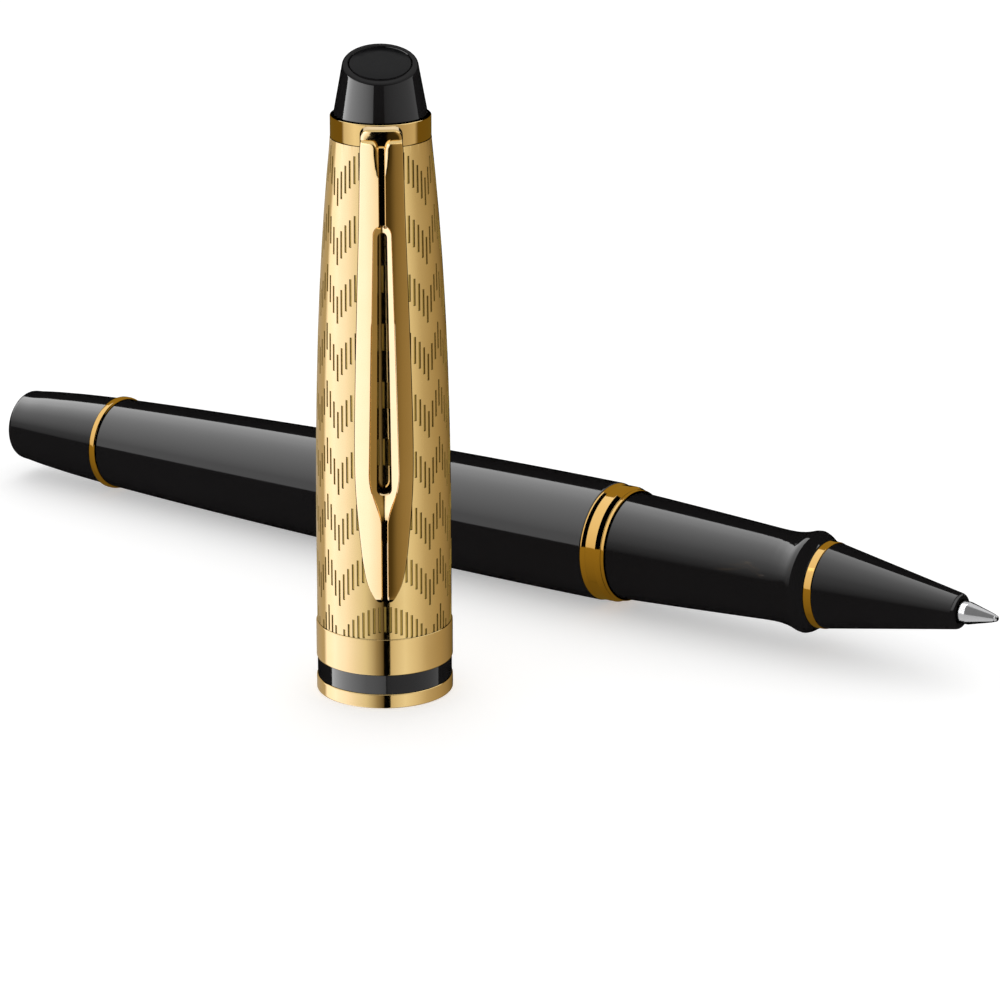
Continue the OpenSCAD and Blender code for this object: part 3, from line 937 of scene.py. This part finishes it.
def make_materials():
    """Material of every slot in the record, and of the floors of the cuts: rough satin gold darkened with
    painted shade.
    """
    return {
        "engraved_gold": metal("gold_satin", (0.87, 0.62, 0.25), (0.93, 0.69, 0.3), 0.06, 0.1),
        # cut floors: the rough satin grain is real, the darker gold is painted shade in the cuts
        "engraved_floor_painted_shade": metal("gold_cut_painted_shade", (0.5, 0.345, 0.08), (0.6, 0.42, 0.11), 0.4, 0.5, 4e-6),
        "polished_gold": metal("gold_polished", (0.88, 0.62, 0.25), (0.93, 0.68, 0.3), 0.05, 0.08),
        "black_lacquer": lacquer("lacquer_black", (0.009, 0.0084, 0.0086), 0.05, 0.08),
        "finial_inlay": lacquer("inlay_black", (0.006, 0.006, 0.0065), 0.1, 0.16),
        "liner_resin": lacquer("liner_black", (0.02, 0.02, 0.021), 0.3, 0.42),
        "spring_steel": metal("steel_wire", (0.5, 0.5, 0.52), (0.64, 0.64, 0.66), 0.2, 0.3),
        "brass_fitting": metal("brass_turned", (0.68, 0.47, 0.2), (0.8, 0.58, 0.28), 0.18, 0.28, 2e-6),
        "refill_shell": metal("refill_tube_metal", (0.6, 0.6, 0.62), (0.72, 0.72, 0.74), 0.2, 0.3),
        "refill_plastic": lacquer("refill_moulding", (0.03, 0.03, 0.033), 0.25, 0.35),
        "ink_fibre": fibre("ink_fibre", (0.01, 0.015, 0.09), (0.03, 0.05, 0.22)),
        "tip_steel": metal("tip_nickel", (0.62, 0.62, 0.63), (0.74, 0.74, 0.75), 0.12, 0.2),
    }


def apply_materials(materials):
    """Every piece and every shown CAD node takes the material of its slot."""
    slot_of = {s["node"]: s["material_slot"] for s in frame["record"]["subparts"]}
    for node, obj in frame["nodes"].items():
        obj.data.materials.clear()
        obj.data.materials.append(materials[slot_of[node]])
    for obj, slot in dressed:
        obj.data.materials.append(materials[slot])
        # engraved pieces also carry the cut-floor material, gold darkened with painted shade
        if slot == "engraved_gold":
            obj.data.materials.append(materials["engraved_floor_painted_shade"])


# ---------------------------------------------------------------- studio

AZIMUTH = 34.72
ELEVATION = 18.08
CAMERA_PLACE = (0.26296, -0.35943, 0.16467)
LENS = 171.82


def make_camera():
    camera = bpy.data.objects.new("camera", bpy.data.cameras.new("camera"))
    bpy.context.scene.collection.objects.link(camera)
    camera.data.lens = LENS
    camera.data.sensor_width = 36
    camera.data.clip_start = 0.01
    camera.location = CAMERA_PLACE
    camera.rotation_euler = (math.radians(90 - ELEVATION), 0, math.radians(AZIMUTH))
    bpy.context.scene.camera = camera


def make_floor():
    """Plain floor that glows a little, so that it comes out nearly white."""
    mesh = bpy.data.meshes.new("floor")
    reach = 6
    corners = [(-reach, -reach, 0), (reach, -reach, 0), (reach, reach, 0), (-reach, reach, 0)]
    mesh.from_pydata(corners, [], [(0, 1, 2, 3)])
    floor = bpy.data.objects.new("floor", mesh)
    bpy.context.scene.collection.objects.link(floor)
    material, _, _, principled = shader("floor_white")
    principled.inputs["Base Color"].default_value = (0.8, 0.8, 0.8, 1)
    principled.inputs["Roughness"].default_value = 0.7
    principled.inputs["Emission Color"].default_value = (1, 1, 1, 1)
    principled.inputs["Emission Strength"].default_value = 0.42
    mesh.materials.append(material)
    floor.visible_glossy = False
    return floor


def direction(azimuth, elevation):
    """Unit vector; azimuth 0 points at the camera and positive goes to its right."""
    flat = math.radians(-90 + AZIMUTH + azimuth)
    up = math.radians(elevation)
    return Vector((math.cos(up) * math.cos(flat), math.cos(up) * math.sin(flat), math.sin(up)))


def group(name, objects):
    """Collection for light linking."""
    collection = bpy.data.collections.new(name)
    for obj in objects:
        collection.objects.link(obj)
    return collection


REACH = 3.0
MIDDLE = Vector((-0.005, 0.015, 0.02))


def card_lamp(name, width, height, stops):
    """Lamp of a card, its colour a ramp across its width."""
    lamp = bpy.data.lights.new(name, "AREA")
    lamp.shape = "RECTANGLE"
    lamp.size = width
    lamp.size_y = height
    # a white area light of this energy has a radiance of one
    lamp.energy = math.pi * width * height
    lamp.use_nodes = True
    nodes, links = lamp.node_tree.nodes, lamp.node_tree.links
    where = nodes.new("ShaderNodeNewGeometry")
    part = nodes.new("ShaderNodeSeparateXYZ")
    ramp = nodes.new("ShaderNodeValToRGB")
    links.new(where.outputs["Parametric"], part.inputs["Vector"])
    links.new(part.outputs["X"], ramp.inputs["Fac"])
    # colours above one don't fit in the ramp, so the lamp's strength carries twice the peak
    peak = max(stop[1] for stop in stops)
    points = ramp.color_ramp.elements
    while len(points) < len(stops):
        points.new(0.5)
    for point, (share, level, warmth) in zip(points, stops):
        point.position = share
    for point, (share, level, warmth) in zip(points, stops):
        level = level / (2 * peak)
        warm, cool = max(warmth, 0), max(-warmth, 0)
        green = level * (1 - 0.3 * warm + 0.05 * cool)
        blue = level * max(0.05, 1 - 0.75 * warm + 0.6 * cool)
        point.color = (level, green, blue, 1)
    links.new(ramp.outputs["Color"], nodes["Emission"].inputs["Color"])
    nodes["Emission"].inputs["Strength"].default_value = 2 * peak
    return lamp


def card(name, corner, along, upward, stops, lit, blockers):
    """Flat light seen only as a reflection by the lit group. Stops are (share, brightness,
    warmth) along its first edge; a negative warmth is a cool white."""
    obj = bpy.data.objects.new(name, card_lamp(name, along.length, upward.length, stops))
    x, y = along.normalized(), upward.normalized()
    z = x.cross(y)
    turn = Matrix((x, y, z)).transposed().to_4x4()
    obj.matrix_world = Matrix.Translation(corner + along / 2 + upward / 2) @ turn
    obj.visible_camera = False
    obj.visible_diffuse = False
    obj.light_linking.receiver_collection = lit
    obj.light_linking.blocker_collection = blockers
    bpy.context.scene.collection.objects.link(obj)


def wall_card(name, levels, low, high, lit, blockers):
    """Upright card between two azimuths. Levels are (azimuth, brightness, warmth)."""
    first, last = levels[0][0], levels[-1][0]
    middle, half = (first + last) / 2, math.radians((last - first) / 2)
    face = direction(middle, 0) * REACH
    side = direction(middle + 90, 0)
    wide = REACH * math.tan(half)
    stops = [(0.5 + math.tan(math.radians(a - middle)) / (2 * math.tan(half)), level, warmth)
             for a, level, warmth in levels]
    bottom = REACH * math.tan(math.radians(low))
    top = REACH * math.tan(math.radians(high))
    corner = MIDDLE + face - side * wide + Vector((0, 0, bottom))
    # the lit side of an area light is its -Z side, which must look at the object
    card(name, corner, side * (2 * wide), Vector((0, 0, top - bottom)), stops, lit, blockers)


def roof_card(name, level, lit, blockers):
    """Level card overhead, seen in edges and faces that look upwards."""
    side = direction(90, 0)
    front = direction(0, 0)
    corner = MIDDLE + Vector((0, 0, REACH)) - side * REACH * 1.6 - front * REACH
    stops = [(0, level, 0), (1, level, 0)]
    card(name, corner, front * (REACH * 1.6), side * (REACH * 3.2), stops, lit, blockers)


def pen_card(name, levels, rear, fore, lit, blockers):
    """Card along the pen. Levels are (turn about the pen from its front upwards, brightness,
    warmth); rear and fore are how far it runs each way, as shares of its distance."""
    axis = Vector(screw["axis"])
    first, last = levels[0][0], levels[-1][0]
    middle, half = math.radians((first + last) / 2), math.radians((last - first) / 2)
    face = Vector((0, -math.cos(middle), math.sin(middle))) * REACH
    across = Vector((0, math.sin(middle), math.cos(middle)))
    wide = REACH * math.tan(half)
    stops = [(0.5 + math.tan(math.radians(a) - middle) / (2 * math.tan(half)), level, warmth)
             for a, level, warmth in levels]
    corner = MIDDLE + face - across * wide + axis * (fore * REACH)
    card(name, corner, across * (2 * wide), -axis * ((fore - rear) * REACH), stops, lit, blockers)


def make_world():
    """Even light from all round for the floor; polished parts see only the cards."""
    world = bpy.data.worlds.new("studio")
    bpy.context.scene.world = world
    world.use_nodes = True
    world.node_tree.nodes["Background"].inputs["Color"].default_value = (0.78, 0.78, 0.78, 1)
    world.cycles_visibility.glossy = False


def make_back_lamp(floor):
    """Wide lamp behind the object that lights only the floor, so soft shadows fall forwards."""
    lamp = bpy.data.lights.new("back_lamp", "AREA")
    lamp.shape = "SQUARE"
    lamp.size = 3.2
    lamp.energy = 20
    obj = bpy.data.objects.new("back_lamp", lamp)
    away = direction(180, 48)
    obj.location = MIDDLE + away * REACH
    obj.rotation_euler = away.to_track_quat("Z", "Y").to_euler()
    obj.visible_camera = False
    obj.visible_glossy = False
    obj.light_linking.receiver_collection = group("floor_only", [floor])
    bpy.context.scene.collection.objects.link(obj)


CAP_BODIES = ("cap", "pocket_clip")
LIT_TOGETHER = {
    "cap_gold": ["engraved_sleeve", "cap_band_visual", "lip_ring_visual"],
    "collar": ["clip_ring_visual"],
    "clip": ["clip_visual", "clip_block_visual"],
    "lacquer_band": ["lacquer_band_visual"],
    "cap_dark": ["finial_visual", "finial_disc_visual"],
    "upright_dark": ["finial_visual"],
    "inlay": ["finial_disc_visual"],
    "pen_gold": ["tail_ring_visual", "centre_ring_visual", "front_ring_visual"],
    "barrel": ["barrel_visual", "thread_sleeve_visual"],
    "tail": ["tail_cap_visual"],
    "grip": ["grip_visual"],
    "nose": ["nose_cone_visual"],
    "steel": ["refill_tip_visual", "writing_ball_visual"],
}


def lit_groups():
    """Collections of the pieces that each set of cards lights, and of all on cap and pen."""
    lit = {name: group(name, [bpy.data.objects[piece] for piece in pieces])
           for name, pieces in LIT_TOGETHER.items()}
    lit["cap_all"] = group("cap_all", [o for o, slot in dressed if o["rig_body"] in CAP_BODIES])
    lit["pen_all"] = group("pen_all", [o for o, slot in dressed if o["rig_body"] not in CAP_BODIES])
    return lit


def light_cap(lit):
    """Cards round the cap, and one overhead, for each kind of its parts."""
    def wall(name, levels, low, high, part, blockers="cap_all"):
        wall_card(name, levels, low, high, lit[part], lit[blockers])

    wall("gold_far_left", [(-178, 0.42, 0.5), (-122, 0.5, 0.4), (-114, 1.25, -0.4), (-92, 1.35, -0.8)],
         -75, 30, "cap_gold")
    wall("gold_left", [(-92, 1.35, -0.8), (-68, 1.15, -0.6), (-49, 0.95, -0.3), (-31, 0.78, 0),
                       (-12, 0.34, 0.4), (-0.5, 0.1, 0.8)], -75, 30, "cap_gold")
    wall("gold_right", [(10.5, 0.6, 0.25), (16, 0.7, 0.15), (36, 0.88, 0), (54, 0.76, 0.15),
                        (74, 0.55, 0.35)], -75, 30, "cap_gold")
    wall("gold_far_right", [(74, 0.55, 0.35), (110, 0.4, 0.6), (152, 0.2, 1), (166, 0.16, 1)],
         -75, 30, "cap_gold")
    wall("clip_left", [(-105, 1.5, -1), (-60, 1.45, -1), (-30, 1.35, -0.9), (-5, 0.95, -0.2)],
         -70, 60, "clip")
    wall("clip_right", [(6, 0.03, 1), (20, 0.08, 1), (29, 0.23, 0.85), (40, 0.3, 0.8), (90, 0.45, 0.6)],
         -70, 60, "clip")
    wall("clip_back", [(140, 0.5, 0.5), (180, 0.9, 0.1), (220, 0.5, 0.5)], 5, 40, "clip", "clip")
    wall("collar_left", [(-170, 0.14, 1.2), (-96, 0.17, 1.2), (-90, 0.7, 0.2), (-60, 0.95, 0.1),
                         (-12, 0.3, 0.9)], -75, 30, "collar")
    wall("collar_right", [(8, 0.2, 0.9), (40, 0.45, 0.5), (84, 0.6, 0.4), (94, 0.16, 1.2),
                          (165, 0.14, 1.2)], -75, 30, "collar")
    roof_card("gold_roof", 1.1, lit["cap_gold"], lit["cap_all"])
    roof_card("clip_roof", 0.8, lit["clip"], lit["cap_all"])
    roof_card("collar_roof", 1.2, lit["collar"], lit["cap_all"])
    wall("dark_left", [(-102, 7, 0), (-80, 4.5, 0), (-17, 1.3, 0)], -70, 30, "upright_dark")
    wall("inlay_left", [(-102, 0.7, 0), (-17, 0.7, 0)], -70, 30, "inlay")
    wall("dark_right", [(11, 0.25, 0), (50, 0.55, 0), (106, 0.9, 0)], -70, 30, "cap_dark")
    roof_card("dark_roof", 0.25, lit["cap_dark"], lit["cap_all"])
    wall("lacquer_left", [(-102, 6, 0), (-80, 4.5, 0), (-30, 1.9, 0), (3, 1.1, 0)],
         -70, 30, "lacquer_band")
    wall("lacquer_right", [(5, 0.3, 0), (50, 0.5, 0), (106, 0.9, 0)], -70, 30, "lacquer_band")


def light_pen(lit):
    """Cards along the pen for each of its parts."""
    def strip(name, levels, rear, fore, part):
        pen_card(name, levels, rear, fore, lit[part], lit["pen_all"])

    strip("barrel_strip", [(0, 1.35, 0), (17, 1.35, 0), (60, 2.5, 0), (100, 3.4, 0), (126, 3.4, 0)],
          -5, 0.02, "barrel")
    strip("tail_strip", [(0, 0.3, 0), (17, 0.6, 0), (60, 2, 0), (100, 4.2, 0), (126, 4.2, 0)],
          -3, 0.02, "tail")
    strip("grip_strip", [(0, 0, 0), (17, 0.45, 0), (40, 1.1, 0), (60, 1.8, 0), (100, 3.2, 0), (122, 3.4, 0)],
          -4, 0.02, "grip")
    strip("nose_strip", [(0, 0, 0), (17, 0.4, 0), (40, 0.8, 0), (60, 1.35, 0), (100, 2.5, 0), (124, 2.8, 0)],
          -5, 0.1, "nose")
    strip("gold_strip", [(0, 0.75, 0.7), (40, 0.9, 0.5), (116, 1, 0.3)], -5, 0.02, "pen_gold")
    strip("gold_low", [(-75, 0.16, 1.2), (-20, 0.27, 1.2), (0, 0.3, 1.2)], -2.5, 2, "pen_gold")
    strip("gold_under", [(-150, 0.12, 1.2), (-75, 0.16, 1.2)], -2.5, 2, "pen_gold")
    strip("gold_high", [(116, 0.32, 1.2), (175, 0.3, 1.2)], -2.5, 2, "pen_gold")
    strip("steel_strip", [(0, 1.3, 0), (110, 1.5, 0)], -1.2, -0.36, "steel")
    strip("steel_low", [(-80, 0.75, 0), (0, 0.6, 0)], -2.5, 2, "steel")
    strip("steel_high", [(0, 0.22, 0), (84, 0.24, 0), (100, 0.8, 0), (150, 0.8, 0)], -2.5, 2, "steel")
    # light for the other sides of the pen, beyond what the photographed side mirrors
    for part, start, lowest in (("barrel", 0.12, 15), ("tail", 0.12, 15), ("nose", 0.3, 15),
                                ("grip", 1.4, 45)):
        side = [(lowest, 0.9, 0), (60, 1.7, 0), (90, 2.2, 0), (120, 1.7, 0), (165, 0.9, 0)]
        strip(part + "_side", side, start, 5, part)
        strip(part + "_back", [(128, 1.6, 0), (165, 0.9, 0)], -5, -1.25, part)


def make_studio():
    """Reflection cards for each kind of part, which don't light one another's parts."""
    bpy.context.scene.view_settings.view_transform = "Standard"
    lit = lit_groups()
    light_cap(lit)
    light_pen(lit)
    # cap and pen don't mirror each other: of the object, only the clip shows in reflections
    for obj in [o for o, slot in dressed] + list(frame["nodes"].values()):
        obj.visible_glossy = obj["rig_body"] == "pocket_clip"


make_camera()
make_cap_bands()
make_engraved_sleeve()
make_finial()
make_finial_disc()
make_clip()
make_clip_block()
make_pen()
make_thread()
apply_materials(make_materials())
make_back_lamp(make_floor())
make_world()
make_studio()
